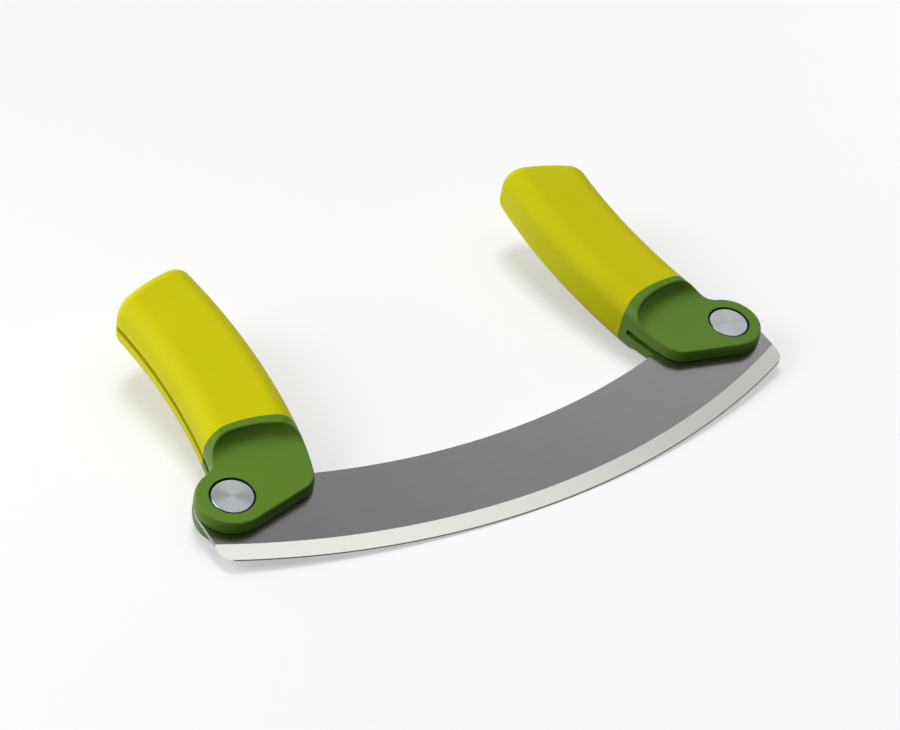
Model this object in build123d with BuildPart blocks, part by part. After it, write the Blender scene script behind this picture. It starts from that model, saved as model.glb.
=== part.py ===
from build123d import *
import os
from math import asin, atan2, cos, degrees, hypot, sin, sqrt

# Folding mezzaluna: a crescent blade between two handles that turn on rivets.
# Every sketch lies in the blade's plane. There x runs along the blade, y runs from the rivets
# towards the ends of the handles, and the middle of the blade's thickness is height zero.

# Blade
blade_thickness = 1.5
blade_width = 31.8
edge_radius = 268.8
edge_thickness = 0.3
bevel_width = 5.8
blade_end_overhang = 11.5
blade_corner_radius = 6.0
tang_corner_radius = 11.2

# Pivots
pivot_spacing = 190.0
pivot_to_edge = 21.0
fold_angle = 252.0
bush_radius = 4.6
shank_radius = 3.0
running_clearance = 0.05
thrust_clearance = 0.05
washer_radius = 8.0
washer_thickness = 0.45
washer_bore_clearance = 0.15
spring_sheet = 0.3
spring_bow = 0.4
spring_gap = 0.02
pocket_clearance = 0.2

# Rivets
rivet_head_radius = 6.57
rivet_head_thickness = 1.6
rivet_head_rounding = 0.35
rivet_pin_radius = 1.9
rivet_pin_clearance = 0.02
rivet_end_gap = 0.1
rivet_tube_floor = 0.8
counterbore_gap = 0.35
counterbore_depth = 1.8
counterbore_rim = 0.25

# Handles. Each follows a long curve, which is tighter below the hip, and ends in a slanted dome.
handle_width = 30.9
handle_thickness = 20.0
handle_sweep_radius = 232.0
handle_sweep_height = 55.7
handle_reach = 19.8
handle_end_length = 35.3
handle_end_slant = 9.0
handle_end_dome_radius = 60.0
handle_end_edge_radius = 4.2
handle_shoulder_radius = 7.5
grip_wall = 2.5
boss_radius = 11.5
hip_radius = 112.0
hip_height = 17.0
lobe_radius = 8.0
lobe_height = 1.1
neck_radius = 5.0
cheek_height = 5.2
rim_radius = 0.6

# Scoop where the bolster steps up to the handle's full thickness
scoop_radius = 5.5
scoop_edge_radius = 34.5
scoop_edge_height = 19.9
scoop_edge_offset = 10.8

# Parting line between bolster and grip
parting_radius = 44.0
parting_height = 22.5
parting_offset = 11.7

# Slot for the blade
slot_width = 2.0
edge_clearance = 0.8
stop_clearance = 0.15
slot_mouth_depth = 4.5
slot_mouth_height = 14.2

overrun = 5.0

# Worked out from the sizes above
half_spacing = pivot_spacing / 2
half_blade = blade_thickness / 2
half_edge = edge_thickness / 2
half_handle = handle_thickness / 2
half_slot = slot_width / 2
spine_radius = edge_radius - blade_width
arc_height = sqrt((edge_radius - pivot_to_edge) ** 2 - half_spacing**2)
blade_end = half_spacing + blade_end_overhang
half_width = handle_width / 2
inner_radius = handle_sweep_radius + half_width
hip_middle_radius = hip_radius - half_width
handle_end_angle = degrees(handle_end_length / handle_sweep_radius)
hip_angle = degrees(asin((hip_height - handle_sweep_height) / inner_radius))
step_height = half_handle - cheek_height
step_run = sqrt(scoop_radius**2 - (scoop_radius - step_height) ** 2)
scoop_floor_radius = scoop_edge_radius - step_run
shoulder_height = half_handle - handle_shoulder_radius
shoulder_run = sqrt(handle_shoulder_radius**2 - (cheek_height - shoulder_height) ** 2)
half = 1 / 2
washer_height = half_blade + thrust_clearance
back_pocket_height = washer_height + washer_thickness + spring_gap
front_pocket_height = back_pocket_height + spring_sheet + spring_bow + spring_gap
counterbore_floor = cheek_height - counterbore_depth
tube_length = 2 * counterbore_floor - rivet_end_gap


def polar(centre, radius, angle):
    """The point at a distance from a centre, at an angle in degrees from x."""
    return centre + Vector(radius, 0).rotate(Axis.Z, angle)


def crossing(first, first_radius, second, second_radius):
    """Where two circles cross, on the left of the line from the first centre to the second."""
    line = second - first
    along = (first_radius**2 - second_radius**2 + line.length**2) / (2 * line.length)
    away = sqrt(first_radius**2 - along**2)
    return first + line.normalized() * along + line.normalized().rotate(Axis.Z, 90) * away


# Places on the left handle, in the blade's plane
arc_centre = Vector(0, arc_height)
pivot = Vector(-half_spacing, 0)
folded_arc_centre = pivot + (arc_centre - pivot).rotate(Axis.Z, -fold_angle)
sweep_centre = pivot + Vector(handle_reach - handle_sweep_radius, handle_sweep_height)
hip_centre = polar(sweep_centre, inner_radius - hip_radius, hip_angle)
lobe_angle = degrees(asin((lobe_height - hip_centre.Y) / (hip_radius - lobe_radius)))
lobe_centre = polar(hip_centre, hip_radius - lobe_radius, lobe_angle)
handle_end = polar(sweep_centre, handle_sweep_radius, handle_end_angle)
dome_centre = polar(handle_end, handle_end_dome_radius, handle_end_angle + handle_end_slant - 90)
top_corner_centre = crossing(
    sweep_centre,
    inner_radius - handle_end_edge_radius,
    dome_centre,
    handle_end_dome_radius - handle_end_edge_radius,
)
parting_centre = pivot + Vector(parting_offset, parting_height - parting_radius)
scoop_centre = pivot + Vector(scoop_edge_offset, scoop_edge_height - scoop_edge_radius)

# The heel is the inner end of the scoop's edge, where the bolster first has its full thickness.
heel = crossing(sweep_centre, inner_radius - handle_shoulder_radius, scoop_centre, scoop_edge_radius)

# The tool lies on the two heels and on the lower rims of the two bosses, with the handles' ends
# a little raised. The origin is on the table, below the middle of the whole tool.
boss_toe = boss_radius - handle_shoulder_radius + shoulder_run
tilt = atan2(step_height, heel.Y + boss_toe)
lift = half_handle * cos(tilt) - heel.Y * sin(tilt)
front = (edge_radius - arc_height) * cos(tilt) + half_edge * sin(tilt)
# The furthest point back lies where the end's rounding turns round the upper shoulder.
corner_turn = handle_shoulder_radius - handle_end_edge_radius
dome_slope = (dome_centre.X - top_corner_centre.X) / (top_corner_centre.Y - dome_centre.Y)
corner_back = (top_corner_centre.Y - corner_turn * dome_slope) * cos(tilt) + shoulder_height * sin(tilt)
back = corner_back + corner_turn * hypot(sin(tilt), dome_slope * cos(tilt)) + handle_end_edge_radius
lie = Plane(
    origin=(0, (front - back) / 2, lift),
    x_dir=(1, 0, 0),
    z_dir=(0, -sin(tilt), cos(tilt)),
)
rise = Axis(lie.origin, lie.z_dir)


def level(height):
    """The plane parallel to the blade at a height above its middle."""
    return lie.offset(height)


def place(point, height=0):
    """A point of the blade's plane, lifted to a height, where it really lies."""
    return lie.from_local_coords((point.X, point.Y, height))


def at_pivot(height):
    """The plane parallel to the blade with its origin on the left pivot."""
    return Plane(origin=place(pivot, height), x_dir=lie.x_dir, z_dir=lie.z_dir)


# Blade: a crescent between two concentric arcs, with rounded tangs and a hollow cut bevel
with BuildPart() as blade:
    with BuildSketch(level(-half_blade)) as crescent:
        with Locations(arc_centre):
            Circle(edge_radius)
            Circle(spine_radius, mode=Mode.SUBTRACT)
        Rectangle(2 * blade_end, 2 * half_spacing, mode=Mode.INTERSECT)
        corners = crescent.vertices().sort_by(Axis.Y)
        fillet(corners[:2], radius=blade_corner_radius)
        fillet(crescent.vertices().sort_by(Axis.Y)[-2:], radius=tang_corner_radius)
        with Locations((-half_spacing, 0), (half_spacing, 0)):
            Circle(bush_radius, mode=Mode.SUBTRACT)
    extrude(amount=blade_thickness)
    bevel_plane = Plane(origin=place(arc_centre), x_dir=lie.x_dir, z_dir=-lie.y_dir)
    bevel_slope = (half_blade - half_edge) / bevel_width
    for side in (1, -1):
        with BuildSketch(bevel_plane):
            with BuildLine():
                Polyline(
                    (edge_radius - bevel_width, side * half_blade),
                    (edge_radius + overrun, side * (half_edge - bevel_slope * overrun)),
                    (edge_radius + overrun, side * (half_blade + overrun)),
                    (edge_radius - bevel_width, side * (half_blade + overrun)),
                    close=True,
                )
            make_face()
        revolve(axis=Axis(place(arc_centre), lie.z_dir), mode=Mode.SUBTRACT)


def handle_band(inset):
    """The curved part of the left handle seen square to the blade, drawn in by an inset."""
    far_angle = 2 * handle_end_angle
    with BuildSketch() as band:
        with BuildLine():
            for away in (half_width - inset, inset - half_width):
                CenterArc(hip_centre, hip_middle_radius + away, lobe_angle, hip_angle - lobe_angle)
                CenterArc(sweep_centre, handle_sweep_radius + away, hip_angle, far_angle - hip_angle)
            ends = (
                (hip_centre, hip_middle_radius, lobe_angle),
                (sweep_centre, handle_sweep_radius, far_angle),
            )
            for centre, radius, angle in ends:
                Line(
                    polar(centre, radius + inset - half_width, angle),
                    polar(centre, radius + half_width - inset, angle),
                )
        make_face()
        with Locations(dome_centre):
            Circle(handle_end_dome_radius - inset, mode=Mode.INTERSECT)
    return band.sketch


def handle_plan():
    """The left handle's whole outline, with the round boss and the lobe at its foot."""
    with BuildSketch() as foot:
        with Locations(pivot):
            Circle(boss_radius)
        with Locations(lobe_centre):
            Circle(lobe_radius)
        make_hull()
    with BuildSketch() as plan:
        add(handle_band(0))
        with Locations(pivot):
            Circle(boss_radius)
        neck = crossing(hip_centre, hip_middle_radius - half_width, pivot, boss_radius)
        fillet(plan.vertices().sort_by_distance(neck)[0], radius=neck_radius)
        add(foot.sketch)
    return plan.sketch


def rounded(plan, inset):
    """A plan given the handle's thickness, round shoulders and end, drawn in by an inset."""
    with BuildPart() as form:
        with BuildSketch(level(0)):
            add(plan)
        extrude(amount=half_handle - inset, both=True)
        dome = form.faces().sort_by_distance(place(handle_end))[0]
        rims = form.faces().filter_by(lie).edges().filter_by(lambda rim: rim not in dome.edges())
        if inset:
            # The bar's foot stays square, because it is buried in the bolster.
            rims = rims.filter_by(GeomType.CIRCLE)
        fillet(rims, radius=handle_shoulder_radius - inset)
        dome = form.faces().sort_by_distance(place(handle_end))[0]
        fillet(dome.edges(), radius=handle_end_edge_radius - inset)
    return form.part


outer_form = rounded(handle_plan(), 0)
inner_form = rounded(handle_band(grip_wall), grip_wall)


def slot_plan():
    """The slot that clears the blade from the open tool to the folded one, seen square to it."""
    with BuildSketch() as plan:
        with Locations(pivot):
            Rectangle(2 * half_spacing, 2 * slot_mouth_height)
        with Locations(arc_centre):
            Circle(spine_radius - stop_clearance, mode=Mode.SUBTRACT)
        with Locations(folded_arc_centre):
            Circle(edge_radius + edge_clearance)
        mouth_side = Vector(lobe_centre.X + lobe_radius - slot_mouth_depth, slot_mouth_height)
        with Locations(mouth_side):
            Rectangle(half_spacing, 2 * slot_mouth_height, align=(Align.MIN, Align.MAX))
        with Locations(pivot):
            Rectangle(2 * half_spacing, 4 * half_spacing, mode=Mode.INTERSECT)
    return plan.sketch


def is_rim(edge):
    """Whether an edge goes round the cheek and scoop, and isn't the smooth seam between them."""
    from_centre = lie.to_local_coords(edge @ half) - scoop_centre
    return abs(hypot(from_centre.X, from_centre.Y) - scoop_floor_radius) > rim_radius / 2


def is_counterbore_mouth(edge):
    """Whether an edge is the round mouth of a rivet's counterbore."""
    mouth = abs(edge.radius - rivet_head_radius - counterbore_gap) < counterbore_rim
    return mouth and abs(abs(lie.to_local_coords(edge.arc_center).Z) - cheek_height) < counterbore_rim


slot = slot_plan()
scoop_middle = scoop_centre + Vector(0, scoop_floor_radius)
scoop_plane = Plane(origin=place(scoop_centre), x_dir=lie.x_dir, z_dir=-lie.y_dir)

# Room for the grip: all that lies beyond the parting line and outside the bar
with BuildPart() as grip_room:
    with BuildSketch(level(0)):
        with Locations(pivot):
            Rectangle(2 * half_spacing, 4 * half_spacing)
        with Locations(parting_centre):
            Circle(parting_radius, mode=Mode.SUBTRACT)
    extrude(amount=handle_thickness, both=True)
    add(inner_form, mode=Mode.SUBTRACT)

# Handle core: the bolster, and a bar that carries on inside the grip
with BuildPart() as left_core:
    add(outer_form)
    for side in (1, -1):
        with BuildSketch(scoop_plane):
            with BuildLine():
                bottom = (scoop_floor_radius, side * cheek_height)
                wall = (scoop_floor_radius + scoop_radius, side * (cheek_height + scoop_radius))
                RadiusArc(bottom, wall, -side * scoop_radius)
                Polyline(
                    wall,
                    (scoop_floor_radius + scoop_radius, side * handle_thickness),
                    (0, side * handle_thickness),
                    (0, side * cheek_height),
                    bottom,
                )
            make_face()
        revolve(axis=Axis(place(scoop_centre), lie.z_dir), mode=Mode.SUBTRACT)
    for side in (1, -1):
        cheek = left_core.faces().filter_by(lie).sort_by_distance(place(pivot, side * cheek_height))[0]
        scoops = left_core.faces().filter_by(GeomType.TORUS)
        scoop = scoops.sort_by_distance(place(scoop_middle, side * cheek_height))[0]
        fillet((cheek.edges() + scoop.edges()).filter_by(is_rim), radius=rim_radius)
    add(grip_room.part, mode=Mode.SUBTRACT)
    with BuildSketch(level(0)):
        add(slot)
    extrude(amount=half_slot, both=True, mode=Mode.SUBTRACT)
    with BuildSketch(at_pivot(0)):
        Circle(shank_radius + running_clearance)
    extrude(amount=handle_thickness, both=True, mode=Mode.SUBTRACT)
    for side in (1, -1):
        with BuildSketch(at_pivot(side * counterbore_floor)):
            Circle(rivet_head_radius + counterbore_gap)
        extrude(amount=side * handle_thickness, mode=Mode.SUBTRACT)
    with BuildSketch(at_pivot(-back_pocket_height)):
        Circle(washer_radius + pocket_clearance)
    extrude(amount=back_pocket_height + front_pocket_height, mode=Mode.SUBTRACT)
    mouths = left_core.edges().filter_by(GeomType.CIRCLE).filter_by(is_counterbore_mouth)
    chamfer(mouths, length=counterbore_rim)

# Grip: a soft sleeve over the bar, split along the handle's outer side by the slot
with BuildPart() as left_grip:
    add(outer_form)
    add(grip_room.part, mode=Mode.INTERSECT)
    with BuildSketch(level(0)):
        add(slot)
    extrude(amount=half_slot, both=True, mode=Mode.SUBTRACT)

# Rivet tube, put in from the front, with a blind bore for the pin
with BuildPart() as left_rivet_tube:
    with BuildSketch(at_pivot(counterbore_floor)):
        Circle(rivet_head_radius)
    extrude(amount=rivet_head_thickness)
    with BuildSketch(at_pivot(counterbore_floor)):
        Circle(shank_radius)
    extrude(amount=-tube_length)
    head = left_rivet_tube.edges().sort_by(rise)[-1]
    fillet(head, radius=rivet_head_rounding)
    with BuildSketch(at_pivot(counterbore_floor - tube_length)):
        Circle(rivet_pin_radius)
    extrude(amount=tube_length - rivet_tube_floor, mode=Mode.SUBTRACT)

# Rivet pin, put in from the back
with BuildPart() as left_rivet_pin:
    with BuildSketch(at_pivot(-counterbore_floor)):
        Circle(rivet_head_radius)
    extrude(amount=-rivet_head_thickness)
    with BuildSketch(at_pivot(-counterbore_floor)):
        Circle(rivet_pin_radius - rivet_pin_clearance)
    extrude(amount=2 * counterbore_floor - rivet_tube_floor - rivet_end_gap)
    head = left_rivet_pin.edges().sort_by(rise)[0]
    fillet(head, radius=rivet_head_rounding)

# Bush pressed into the blade
with BuildPart() as left_pivot_bush:
    with BuildSketch(at_pivot(-half_blade)):
        Circle(bush_radius)
        Circle(shank_radius + running_clearance, mode=Mode.SUBTRACT)
    extrude(amount=blade_thickness)


def thrust_washer(height):
    """A flat washer that lies on a plane at a height above the blade's middle."""
    with BuildPart() as washer:
        with BuildSketch(at_pivot(height)):
            Circle(washer_radius)
            Circle(shank_radius + washer_bore_clearance, mode=Mode.SUBTRACT)
        extrude(amount=washer_thickness)
    return washer


left_front_washer = thrust_washer(washer_height)
left_back_washer = thrust_washer(-washer_height - washer_thickness)

# Spring washer: a ring cut from sheet that is bowed about one axis
with BuildPart() as left_spring_washer:
    bow_radius = (washer_radius**2 + spring_bow**2) / (2 * spring_bow)
    bow_top = place(pivot, front_pocket_height - spring_gap)
    with BuildSketch(Plane(origin=bow_top, x_dir=lie.x_dir, z_dir=-lie.y_dir)):
        with Locations((0, -bow_radius)):
            Circle(bow_radius)
            Circle(bow_radius - spring_sheet, mode=Mode.SUBTRACT)
    extrude(amount=washer_radius, both=True)
    with BuildSketch(at_pivot(washer_height)):
        Circle(washer_radius)
        Circle(shank_radius + washer_bore_clearance, mode=Mode.SUBTRACT)
    extrude(amount=front_pocket_height, mode=Mode.INTERSECT)

left_pieces = {
    "handle_core": left_core,
    "grip": left_grip,
    "rivet_tube": left_rivet_tube,
    "rivet_pin": left_rivet_pin,
    "pivot_bush": left_pivot_bush,
    "front_washer": left_front_washer,
    "back_washer": left_back_washer,
    "spring_washer": left_spring_washer,
}

os.makedirs("parts", exist_ok=True)
blade.part.label = "blade"
export_step(blade.part, "parts/blade.step")
for name, left in left_pieces.items():
    left.part.label = "left_" + name
    export_step(left.part, "parts/left_" + name + ".step")
    with BuildPart() as right:
        add(left.part)
        mirror(about=Plane.YZ, mode=Mode.REPLACE)
    right.part.label = "right_" + name
    export_step(right.part, "parts/right_" + name + ".step")
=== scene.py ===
from math import radians

import bpy
from mathutils import Matrix, Quaternion, Vector

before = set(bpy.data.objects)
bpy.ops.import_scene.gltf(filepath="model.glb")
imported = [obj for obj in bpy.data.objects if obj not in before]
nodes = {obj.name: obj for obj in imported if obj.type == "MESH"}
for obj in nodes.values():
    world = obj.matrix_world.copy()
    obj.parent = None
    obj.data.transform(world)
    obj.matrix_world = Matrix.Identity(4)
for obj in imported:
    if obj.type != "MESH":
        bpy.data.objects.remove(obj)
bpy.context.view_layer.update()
bpy.ops.object.select_all(action="DESELECT")
print("frame loaded:", len(nodes), "nodes")

# the blade's plane leans back about X; places on it are measured from between the rivets
bladePlane = {
    "lean": radians(9.723459),
    "origin": Vector((0, -0.0266806, 0.0069826)),
    "rivetSpacing": 0.19,
}


def onBlade(x, y):
    return bladePlane["origin"] + Matrix.Rotation(bladePlane["lean"], 3, "X") @ Vector((x, y, 0))


rivetPlaces = {
    "left": onBlade(-bladePlane["rivetSpacing"] / 2, 0),
    "right": onBlade(bladePlane["rivetSpacing"] / 2, 0),
}


# small helpers that place and wire shader nodes
def newMaterial(name):
    material = bpy.data.materials.new(name)
    material.use_nodes = True
    return material, material.node_tree, material.node_tree.nodes["Principled BSDF"]


def setInputs(tree, node, inputs):
    for socket, value in inputs.items():
        if isinstance(value, bpy.types.NodeSocket):
            tree.links.new(value, node.inputs[socket])
        else:
            node.inputs[socket].default_value = value


def addNode(tree, kind, inputs=None, **settings):
    node = tree.nodes.new(kind)
    for name, value in settings.items():
        setattr(node, name, value)
    setInputs(tree, node, inputs or {})
    return node


def maths(tree, operation, *values):
    return addNode(tree, "ShaderNodeMath", dict(enumerate(values)), operation=operation).outputs[0]


def smoothStep(tree, value, low, high):
    inputs = {"Value": value, "From Min": low, "From Max": high}
    node = addNode(tree, "ShaderNodeMapRange", inputs, interpolation_type="SMOOTHSTEP")
    return node.outputs["Result"]


def between(tree, factor, low, high, start=0.0, end=1.0):
    inputs = {"Value": factor, "From Min": start, "From Max": end, "To Min": low, "To Max": high}
    return addNode(tree, "ShaderNodeMapRange", inputs).outputs["Result"]


def mixValues(tree, factor, first, second):
    return addNode(tree, "ShaderNodeMix", {0: factor, 2: first, 3: second}).outputs[0]


def mixColours(tree, factor, first, second):
    inputs = {0: factor, 6: first, 7: second}
    return addNode(tree, "ShaderNodeMix", inputs, data_type="RGBA").outputs[2]


def grey(tree, level):
    return addNode(tree, "ShaderNodeCombineColor", {0: level, 1: level, 2: level}).outputs[0]


def splitVector(tree, vector):
    return addNode(tree, "ShaderNodeSeparateXYZ", {0: vector}).outputs


def towards(tree, way, direction):
    inputs = {0: way, 1: direction}
    return addNode(tree, "ShaderNodeVectorMath", inputs, operation="DOT_PRODUCT").outputs["Value"]


def noise(tree, vector, scale, detail=2.0, roughness=0.5):
    inputs = {"Vector": vector, "Scale": scale, "Detail": detail, "Roughness": roughness}
    return addNode(tree, "ShaderNodeTexNoise", inputs).outputs["Fac"]


def objectPlace(tree):
    return addNode(tree, "ShaderNodeTexCoord").outputs["Object"]


def bladeCoordinates(tree, centre):
    # the surface's place in the blade's plane, counted from a centre on it
    inputs = {
        "Vector": objectPlace(tree),
        "Location": centre,
        "Rotation": (bladePlane["lean"], 0, 0),
    }
    return addNode(tree, "ShaderNodeMapping", inputs, vector_type="TEXTURE").outputs["Vector"]


def polarPlace(tree, x, y):
    # distance from the centre and angle round it, in the blade's plane
    squares = maths(tree, "ADD", maths(tree, "MULTIPLY", x, x), maths(tree, "MULTIPLY", y, y))
    return maths(tree, "SQRT", squares), maths(tree, "ARCTAN2", y, x)


def newGroup(name, inputs, outputs):
    group = bpy.data.node_groups.new(name, "ShaderNodeTree")
    for socket, (kind, value) in inputs.items():
        made = group.interface.new_socket(socket, in_out="INPUT", socket_type=kind)
        if value is not None:
            made.default_value = value
    for socket in outputs:
        group.interface.new_socket(socket, in_out="OUTPUT", socket_type="NodeSocketFloat")
    return group, group.nodes.new("NodeGroupInput").outputs, group.nodes.new("NodeGroupOutput")


# scale, detail and roughness of the noises; the skin's fine scale comes with each finish
grainNoise = {"fine": (1.0, 3.0, 0.65), "drift": (22.0, 2.0, 0.5)}
skinNoise = {"fine": (2.0, 0.6), "cellShare": 0.5, "patches": (38.0, 3.0)}


def buildSteelGrain():
    # fine scratches that run along one direction, with a slow drift in tone
    inputs = {
        "Along": ("NodeSocketFloat", 0.0),
        "Across": ("NodeSocketFloat", 0.0),
        "Length": ("NodeSocketFloat", 40.0),
        "Fineness": ("NodeSocketFloat", 2500.0),
    }
    group, given, result = newGroup("steelGrain", inputs, ("Grain", "Drift"))
    along = maths(group, "MULTIPLY", given["Along"], given["Length"])
    across = maths(group, "MULTIPLY", given["Across"], given["Fineness"])
    vector = addNode(group, "ShaderNodeCombineXYZ", {"X": along, "Y": across}).outputs[0]
    inputs = {"X": given["Along"], "Y": given["Across"]}
    slow = addNode(group, "ShaderNodeCombineXYZ", inputs).outputs[0]
    group.links.new(noise(group, vector, *grainNoise["fine"]), result.inputs["Grain"])
    group.links.new(noise(group, slow, *grainNoise["drift"]), result.inputs["Drift"])
    return group


def buildMouldedSkin():
    # the fine spark texture of a mould, and the faint patchiness of handled plastic
    inputs = {"Place": ("NodeSocketVector", None), "Fineness": ("NodeSocketFloat", 2600.0)}
    group, given, result = newGroup("mouldedSkin", inputs, ("Texture", "Patches"))
    fine = noise(group, given["Place"], given["Fineness"], *skinNoise["fine"])
    inputs = {"Vector": given["Place"], "Scale": given["Fineness"]}
    cells = addNode(group, "ShaderNodeTexVoronoi", inputs).outputs["Distance"]
    texture = maths(group, "MULTIPLY_ADD", cells, skinNoise["cellShare"], fine)
    patches = noise(group, given["Place"], *skinNoise["patches"])
    group.links.new(texture, result.inputs["Texture"])
    group.links.new(patches, result.inputs["Patches"])
    return group


steelGrain = buildSteelGrain()
mouldedSkin = buildMouldedSkin()


def useGroup(tree, group, inputs):
    return addNode(tree, "ShaderNodeGroup", inputs, node_tree=group).outputs


def addBump(tree, shader, height, depth):
    inputs = {"Height": height, "Distance": depth, "Strength": 1.0}
    bump = addNode(tree, "ShaderNodeBump", inputs)
    tree.links.new(bump.outputs["Normal"], shader.inputs["Normal"])


plasticFinishes = {
    "grip": {
        "deep": (0.555, 0.523, 0.001, 1),
        "light": (0.635, 0.598, 0.002, 1),
        "roughness": (0.44, 0.54),
        "specular": 0.09,
        "fineness": 2600.0,
        "depth": 0.00003,
    },
    "bolster": {
        "deep": (0.090, 0.203, 0.009, 1),
        "light": (0.103, 0.226, 0.013, 1),
        "roughness": (0.33, 0.40),
        "specular": 0.26,
        "fineness": 2200.0,
        "depth": 0.00002,
    },
    "bearing": {
        "deep": (0.72, 0.72, 0.68, 1),
        "light": (0.82, 0.82, 0.79, 1),
        "roughness": (0.30, 0.40),
        "specular": 0.45,
        "fineness": 1500.0,
        "depth": 0.00001,
    },
}


# painted shade: a near-black ring round each rivet's head on the bolsters
paintedRecessShade = {
    "edge": (0.00700, 0.00735),  # distance from the rivet's axis
    "colour": (0.004, 0.008, 0.003, 1),
}


def paintRecessShade(tree, colour):
    # painted shade: a dark ring round each rivet's head, where the light doesn't reach
    place = splitVector(tree, bladeCoordinates(tree, onBlade(0, 0)))
    mirrored = maths(tree, "ABSOLUTE", place["X"])
    across = maths(tree, "SUBTRACT", mirrored, bladePlane["rivetSpacing"] / 2)
    radius = polarPlace(tree, across, place["Y"])[0]
    outside = smoothStep(tree, radius, *paintedRecessShade["edge"])
    return mixColours(tree, outside, paintedRecessShade["colour"], colour)


def makePlastic(name, finish, hasPaintedRecessShade=False):
    material, tree, shader = newMaterial(name)
    inputs = {"Place": objectPlace(tree), "Fineness": finish["fineness"]}
    skin = useGroup(tree, mouldedSkin, inputs)
    colour = mixColours(tree, skin["Patches"], finish["deep"], finish["light"])
    # painted shade round the rivets' heads
    if hasPaintedRecessShade:
        colour = paintRecessShade(tree, colour)
    setInputs(tree, shader, {
        "Base Color": colour,
        "Roughness": between(tree, skin["Patches"], *finish["roughness"]),
        "Specular IOR Level": finish["specular"],
    })
    addBump(tree, shader, skin["Texture"], finish["depth"])
    return material


bladeFinish = {
    "arcHeight": 0.2288654,  # the arcs' centre, above the line between the rivets
    "bevelStart": (0.26295, 0.26305),  # these two are distances from that centre
    # painted shade: a dark band along the cutting edge, for the shadow under the edge and the
    # shadowed floor it reflects
    "paintedEdgeShade": (0.26842, 0.26868),
    # painted reflection: the flat's steel is darker and the bevel's lighter than one steel would
    # be, for the darker and brighter surroundings that each reflects
    "flat": ((0.335, 0.33, 0.332, 1), (0.405, 0.40, 0.40, 1)),
    "flatRoughness": (0.15, 0.22),
    "flatGrain": {"Length": 60.0, "Fineness": 3000.0},
    "bevel": ((0.86, 0.85, 0.80, 1), (0.95, 0.94, 0.885, 1)),
    "bevelRoughness": (0.20, 0.28),
    "bevelGrain": {"Length": 120.0, "Fineness": 900.0},
    # the colour of the painted shade along the cutting edge
    "paintedEdgeShadeColour": (0.10, 0.10, 0.10, 1),
    "grainDepth": 0.000002,
}


def makeBladeSteel():
    material, tree, shader = newMaterial("bladeSteel")
    arcCentre = onBlade(0, bladeFinish["arcHeight"])
    place = splitVector(tree, bladeCoordinates(tree, arcCentre))
    radius, angle = polarPlace(tree, place["X"], place["Y"])
    # the flat is brushed along the blade, and the bevel is ground across its edge
    flatInputs = {"Along": place["X"], "Across": place["Y"], **bladeFinish["flatGrain"]}
    flatGrain = useGroup(tree, steelGrain, flatInputs)
    bevelInputs = {"Along": radius, "Across": angle, **bladeFinish["bevelGrain"]}
    bevelGrain = useGroup(tree, steelGrain, bevelInputs)
    # the flat's darker and the bevel's lighter base colours are painted reflection
    flatColour = mixColours(tree, flatGrain["Grain"], *bladeFinish["flat"])
    bevelColour = mixColours(tree, bevelGrain["Grain"], *bladeFinish["bevel"])
    onBevel = smoothStep(tree, radius, *bladeFinish["bevelStart"])
    bladeColour = mixColours(tree, onBevel, flatColour, bevelColour)
    # painted shade along the cutting edge
    inPaintedEdgeShade = smoothStep(tree, radius, *bladeFinish["paintedEdgeShade"])
    flatRoughness = between(tree, flatGrain["Drift"], *bladeFinish["flatRoughness"])
    bevelRoughness = between(tree, bevelGrain["Grain"], *bladeFinish["bevelRoughness"])
    height = mixValues(tree, onBevel, flatGrain["Grain"], bevelGrain["Grain"])
    setInputs(tree, shader, {
        "Base Color": mixColours(tree, inPaintedEdgeShade, bladeColour, bladeFinish["paintedEdgeShadeColour"]),
        "Roughness": mixValues(tree, onBevel, flatRoughness, bevelRoughness),
        "Metallic": 1.0,
    })
    addBump(tree, shader, height, bladeFinish["grainDepth"])
    return material


rivetFinish = {
    "colour": ((0.50, 0.54, 0.55, 1), (0.72, 0.76, 0.775, 1)),
    "roughness": (0.22, 0.36),
    "grain": {"Length": 0.6, "Fineness": 9000.0},
    "anisotropy": 0.85,
    "turn": 0.25,  # a quarter turn, so that the shine spreads across the rings
    "grainDepth": 0.000004,
}


def makeSpunSteel(name, centre):
    material, tree, shader = newMaterial(name)
    place = splitVector(tree, bladeCoordinates(tree, centre))
    radius, angle = polarPlace(tree, place["X"], place["Y"])
    # turned rings: the grain is long round the head and fine across it
    inputs = {"Along": angle, "Across": radius, **rivetFinish["grain"]}
    grain = useGroup(tree, steelGrain, inputs)
    rings = addNode(tree, "ShaderNodeTangent", direction_type="RADIAL", axis="Z").outputs[0]
    setInputs(tree, shader, {
        "Base Color": mixColours(tree, grain["Grain"], *rivetFinish["colour"]),
        "Roughness": between(tree, grain["Grain"], *rivetFinish["roughness"]),
        "Metallic": 1.0,
        "Anisotropic": rivetFinish["anisotropy"],
        "Anisotropic Rotation": rivetFinish["turn"],
        "Tangent": rings,
    })
    addBump(tree, shader, grain["Grain"], rivetFinish["grainDepth"])
    return material


springFinish = {
    "colour": ((0.30, 0.30, 0.31, 1), (0.42, 0.42, 0.43, 1)),
    "roughness": (0.30, 0.42),
    "grain": {"Length": 80.0, "Fineness": 4000.0},
    "grainDepth": 0.000002,
}


def makeSpringSteel():
    material, tree, shader = newMaterial("springSteel")
    place = splitVector(tree, objectPlace(tree))
    inputs = {"Along": place["Y"], "Across": place["X"], **springFinish["grain"]}
    grain = useGroup(tree, steelGrain, inputs)
    setInputs(tree, shader, {
        "Base Color": mixColours(tree, grain["Grain"], *springFinish["colour"]),
        "Roughness": between(tree, grain["Drift"], *springFinish["roughness"]),
        "Metallic": 1.0,
    })
    addBump(tree, shader, grain["Grain"], springFinish["grainDepth"])
    return material


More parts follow.
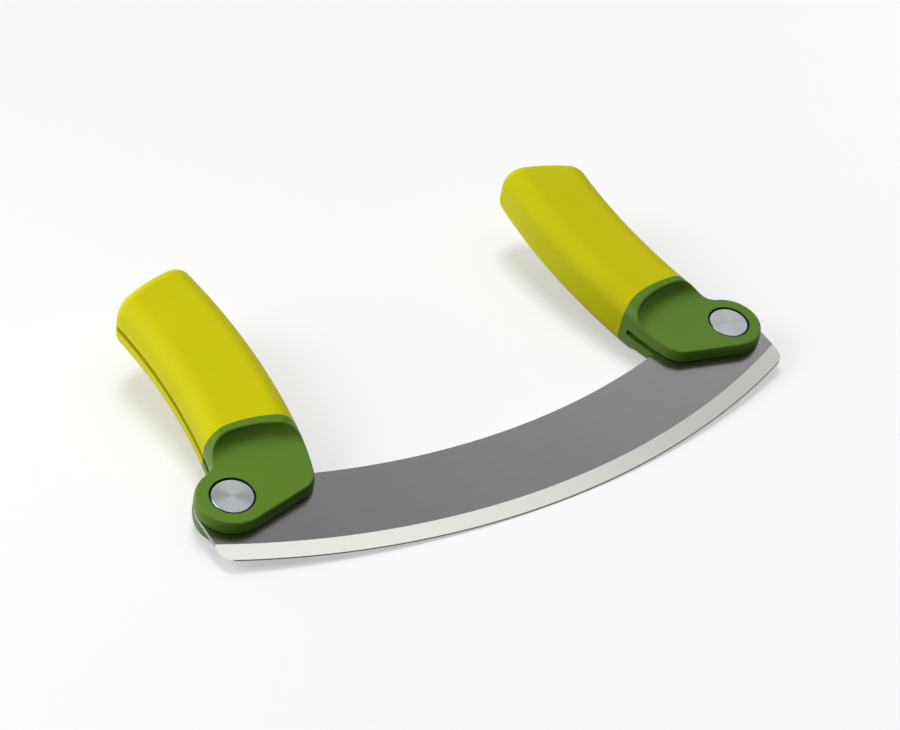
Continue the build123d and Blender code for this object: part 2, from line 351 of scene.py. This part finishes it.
gripRubber = makePlastic("gripRubber", plasticFinishes["grip"])
# the bolsters carry the painted shade round the rivets' heads
bolsterPlastic = makePlastic("bolsterPlastic", plasticFinishes["bolster"], hasPaintedRecessShade=True)
bearingPlastic = makePlastic("bearingPlastic", plasticFinishes["bearing"])
springSteel = makeSpringSteel()
spunSteel = {side: makeSpunSteel(side + "SpunSteel", place) for side, place in rivetPlaces.items()}


def dress(name, material):
    mesh = nodes[name].data
    mesh.materials.clear()
    mesh.materials.append(material)


dress("blade", makeBladeSteel())
for side in rivetPlaces:
    dress(side + "_handle_core", bolsterPlastic)
    dress(side + "_grip", gripRubber)
    dress(side + "_rivet_tube", spunSteel[side])
    dress(side + "_rivet_pin", spunSteel[side])
    dress(side + "_pivot_bush", bearingPlastic)
    dress(side + "_front_washer", bearingPlastic)
    dress(side + "_back_washer", bearingPlastic)
    dress(side + "_spring_washer", springSteel)
print("finishes on")


# directions point away from the tool; edges are where a change along one starts and ends
studio = {
    "background": 0.947,
    "floorSize": 8.0,
    "floorColour": 0.93,
    "floorRoughness": 0.9,
    "bounce": (0.08, 0.85),  # what the floor gives back to the tool, in front and behind
    "bounceWay": (-0.2, 0.98, 0.0),
    "bounceEdges": (-0.03, 0.06),
    "floorLift": 0.38,  # how much the paper glows through its own shadows
    "glow": (0.787, 1.287),
    "glowWay": (0.803, -0.222, 0.0),
    "glowEdges": (-0.2, 0.3),
    "brightSide": (-0.75, 0.66, 0.0),
    "brightEdges": (0.15, 0.75),
    "frontLevels": (0.02, 0.18),  # for soft light, and as steel and gloss show it
    "backLevel": 0.95,
    "ceilingHeights": (0.30, 0.62),
    "ceilingWay": (0.62, 0.76, -0.20),  # the ceiling grows lighter this way
    "ceilingEdges": (0.28, 0.60),
    "ceilingLevels": (0.21, 0.97),
    "ceilingFrontLevels": (0.04, 0.22),  # as for the front walls
    "ceilingFade": (-0.30, 0.25),
    "boxWay": (0.20, -0.10, 0.975),  # the big softbox overhead
    "boxEdges": (0.855, 0.925),
    "boxLevel": 1.0,
}


def sortRays(tree):
    # what the camera sees straight, and what it sees in metal and glass
    rays = addNode(tree, "ShaderNodeLightPath").outputs
    mirrored = maths(tree, "MAXIMUM", rays["Is Glossy Ray"], rays["Is Transmission Ray"])
    return rays["Is Camera Ray"], mirrored


def makeFloor():
    bpy.ops.mesh.primitive_plane_add(size=studio["floorSize"], location=(0, 0, 0))
    floor = bpy.context.object
    floor.name = "floor"
    material, tree, shader = newMaterial("floorPaper")
    direct = maths(tree, "MAXIMUM", *sortRays(tree))
    place = objectPlace(tree)
    behind = smoothStep(tree, towards(tree, place, studio["bounceWay"]), *studio["bounceEdges"])
    bounce = between(tree, behind, *studio["bounce"])
    setInputs(tree, shader, {
        "Base Color": grey(tree, between(tree, direct, bounce, studio["floorColour"])),
        "Roughness": studio["floorRoughness"],
        "Specular IOR Level": 0.0,
    })
    # the paper glows more where the lamps reach it less
    far = towards(tree, place, studio["glowWay"])
    strength = between(tree, far, *studio["glow"], *studio["glowEdges"])
    glow = addNode(tree, "ShaderNodeEmission", {"Strength": strength})
    lift = maths(tree, "MULTIPLY", direct, studio["floorLift"])
    inputs = {0: lift, 1: shader.outputs[0], 2: glow.outputs[0]}
    mix = addNode(tree, "ShaderNodeMixShader", inputs)
    tree.links.new(mix.outputs[0], tree.nodes["Material Output"].inputs["Surface"])
    floor.data.materials.append(material)


def makeWorld():
    world = bpy.data.worlds.new("studioWorld")
    bpy.context.scene.world = world
    world.use_nodes = True
    tree = world.node_tree
    way = addNode(tree, "ShaderNodeTexCoord").outputs["Generated"]
    place = splitVector(tree, way)
    seen, mirrored = sortRays(tree)
    # walls that are white behind and to the left and dark in front
    side = smoothStep(tree, towards(tree, way, studio["brightSide"]), *studio["brightEdges"])
    front = between(tree, mirrored, *studio["frontLevels"])
    walls = between(tree, side, front, studio["backLevel"])
    # a grey ceiling that is dark in front as well
    lighter = smoothStep(tree, towards(tree, way, studio["ceilingWay"]), *studio["ceilingEdges"])
    frontCeiling = between(tree, mirrored, *studio["ceilingFrontLevels"])
    back = smoothStep(tree, place["Y"], *studio["ceilingFade"])
    ceiling = mixValues(tree, back, frontCeiling, between(tree, lighter, *studio["ceilingLevels"]))
    up = smoothStep(tree, place["Z"], *studio["ceilingHeights"])
    room = mixValues(tree, up, walls, ceiling)
    box = smoothStep(tree, towards(tree, way, studio["boxWay"]), *studio["boxEdges"])
    room = mixValues(tree, box, room, studio["boxLevel"])
    # the camera itself sees only the plain background
    level = mixValues(tree, seen, room, studio["background"])
    setInputs(tree, tree.nodes["Background"], {"Color": (1, 1, 1, 1), "Strength": level})


def addLamp(name, kind, place, aim, energy, size, shows):
    data = bpy.data.lights.new(name, kind)
    data.energy = energy
    if kind == "SUN":
        data.angle = size
    else:
        data.shape = "DISK"
        data.size = size
    lamp = bpy.data.objects.new(name, data)
    bpy.context.scene.collection.objects.link(lamp)
    lamp.location = place
    beam = Vector(aim) - Vector(place)
    lamp.rotation_euler = beam.to_track_quat("-Z", "Y").to_euler()
    lamp.visible_glossy = shows  # whether the lamp itself shows in the steel and the plastic


lamps = {
    "keySun": {
        "kind": "SUN",
        "place": (0.17, 0.43, 1.0),
        "aim": (0, 0, 0),
        "energy": 1.27,
        "size": radians(22),
        "shows": False,
    },
    "leftSoftbox": {
        "kind": "AREA",
        "place": (-0.52, 0.18, 0.38),
        "aim": (-0.09, 0.02, 0.01),
        "energy": 2.0,
        "size": 0.5,
        "shows": True,
    },
}


def makeCamera():
    view = {
        "place": Vector((-0.34612, -0.48130, 0.44373)),
        "aim": Vector((0.00715, 0.01078, 0)),
        "roll": radians(4.430),
        "lens": 90.1,
        "shift": (0.0034, -0.0008),
        "clipStart": 0.01,
    }
    data = bpy.data.cameras.new("camera")
    data.lens = view["lens"]
    data.shift_x, data.shift_y = view["shift"]
    data.clip_start = view["clipStart"]
    camera = bpy.data.objects.new("camera", data)
    bpy.context.scene.collection.objects.link(camera)
    camera.location = view["place"]
    level = (view["aim"] - view["place"]).to_track_quat("-Z", "Y")
    camera.rotation_mode = "QUATERNION"
    camera.rotation_quaternion = level @ Quaternion((0, 0, 1), view["roll"])
    bpy.context.scene.camera = camera


makeFloor()
makeWorld()
for lampName, settings in lamps.items():
    addLamp(lampName, **settings)
makeCamera()
bpy.context.scene.view_settings.view_transform = "Standard"
print("studio ready")
